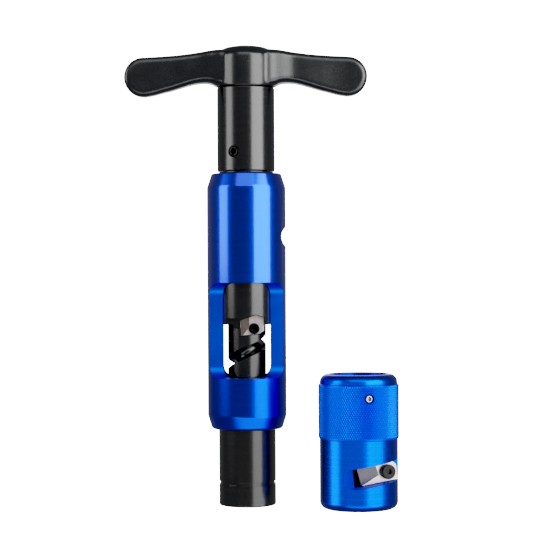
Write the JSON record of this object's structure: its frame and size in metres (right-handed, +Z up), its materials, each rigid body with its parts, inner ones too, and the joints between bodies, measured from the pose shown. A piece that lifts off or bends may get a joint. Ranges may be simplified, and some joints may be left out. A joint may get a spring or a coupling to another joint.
{
  "type": "coaxial cable coring and stripping tool",
  "caption": "T-handle tool that cores, trims and deburrs hard-line coaxial cable through a windowed housing, with a knurled stripping sleeve standing beside it.",
  "frame": {"origin": "on the surface that the tool and its sleeve stand on, under the middle of the box around both", "axes": "+Z up, along the tool's turning axis; the T-handle's arms lie along X at rest and the front windows face -Y; the tool's axis is at x = -6.7 mm, y = 8.05 mm and the sleeve's axis at x = 46.4 mm, y = -7.95 mm"},
  "size_m": [0.131, 0.054, 0.2217],
  "materials": {
    "blue_anodised": "satin blue anodised, fine turning lines",
    "black_oxide": "satin black oxide on turned steel",
    "black_moulding": "satin black coating, rounded edges",
    "bronze": "plain bearing bronze",
    "steel": "bright turned steel",
    "black_screw": "black oxide screw",
    "blade_steel": "ground tool steel"
  },
  "bodies": {
    "housing": {"housing": "blue_anodised", "guide_tube": "black_oxide", "bush_upper": "bronze", "bush_lower": "bronze", "tube_set_screw_1": "black_screw", "tube_set_screw_2": "black_screw"},
    "drive": {"t_handle": "black_moulding", "handle_stud": "steel", "drive_collar": "black_oxide", "collar_set_screw_1": "black_screw", "collar_set_screw_2": "black_screw", "thrust_washer_upper": "black_oxide", "thrust_washer_lower": "steel", "spindle": "black_oxide", "stripping_blade": "blade_steel", "blade_screw": "black_screw"},
    "sleeve": {"sleeve": "blue_anodised", "sleeve_set_screw_1": "steel", "sleeve_set_screw_2": "steel", "sleeve_blade": "blade_steel", "sleeve_blade_screw": "black_screw"}
  },
  "joints": [
    {"name": "handle_turn", "type": "hinge", "parent": "housing", "child": "drive", "pos_m": [-0.0067, 0.00805, 0.161], "axis": [0, 0, 1], "continuous": true},
    {"name": "sleeve_slide", "type": "slide", "parent": "housing", "child": "sleeve", "axis": [0, 0, 1], "range_m": [0, 0.022]}
  ]
}
